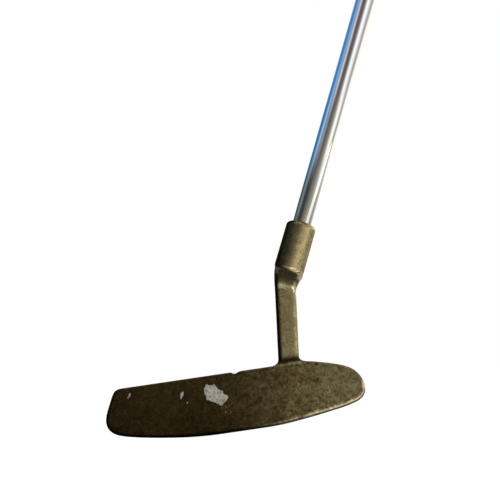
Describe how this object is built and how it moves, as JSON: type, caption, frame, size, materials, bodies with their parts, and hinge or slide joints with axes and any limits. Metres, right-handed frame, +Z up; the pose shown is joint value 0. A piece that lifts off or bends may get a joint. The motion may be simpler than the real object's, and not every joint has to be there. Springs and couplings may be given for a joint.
{
  "type": "blade putter",
  "caption": "Right-handed blade golf putter with a cast bronze cavity-back head, cranked plumber's neck, stepped chromed steel shaft and rubber pistol grip.",
  "frame": {"origin": "on the ground, in the middle of the flat of the sole, with the club at address", "axes": "+Z up, +X towards the heel, -Y towards the target, so the face looks along -Y; the shaft leans up and towards +X in the XZ plane"},
  "size_m": [0.4464, 0.0434, 0.8118],
  "materials": {
    "bronze": "cast bronze with a dark olive-brown patina, satin",
    "paint": "old white enamel",
    "chrome": "polished chrome plate",
    "epoxy": "cured epoxy",
    "plug": "plain",
    "tape": "paper tape",
    "grip_rubber": "matte moulded rubber",
    "cap_rubber": "satin moulded rubber"
  },
  "bodies": {
    "root": {"head": "bronze", "sight_paint": "paint", "shaft": "chrome", "hosel_epoxy": "epoxy", "shaft_tip_plug": "plug", "grip_tape": "tape", "grip": "grip_rubber", "grip_cap": "cap_rubber"}
  },
  "joints": []
}
